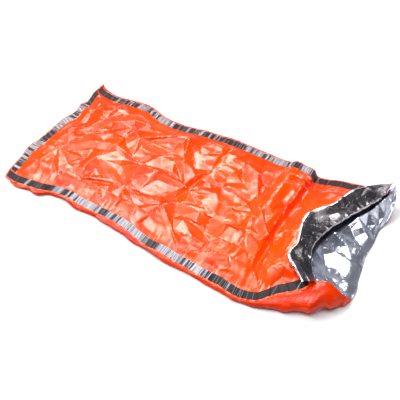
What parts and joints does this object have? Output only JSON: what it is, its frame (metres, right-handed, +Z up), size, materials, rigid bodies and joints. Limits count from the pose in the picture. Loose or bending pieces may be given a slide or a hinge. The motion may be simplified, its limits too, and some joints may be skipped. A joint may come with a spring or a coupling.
{
  "type": "emergency sleeping bag laid out open",
  "caption": "Thin metallised-film emergency sleeping bag laid flat, orange outside and silver inside, taped at the sides and foot, its mouth open and turned back.",
  "frame": {"origin": "on the floor, under the middle of the bag's plan", "axes": "+X from the foot to the mouth, +Y across the bag towards the side whose mouth corner stands up, +Z up"},
  "size_m": [1.978, 0.9812, 0.1472],
  "materials": {
    "top_film": "glossy crinkled metallised film, orange outside, silver inside",
    "bottom_film": "glossy crinkled metallised film, orange outside, silver inside",
    "seam_tape": "smoky grey film tape with silver ribs where it puckers"
  },
  "bodies": {
    "root": {"top_film": "top_film", "bottom_film": "bottom_film", "seam_tape_near": "seam_tape", "seam_tape_far": "seam_tape", "seam_tape_foot": "seam_tape"}
  },
  "joints": []
}
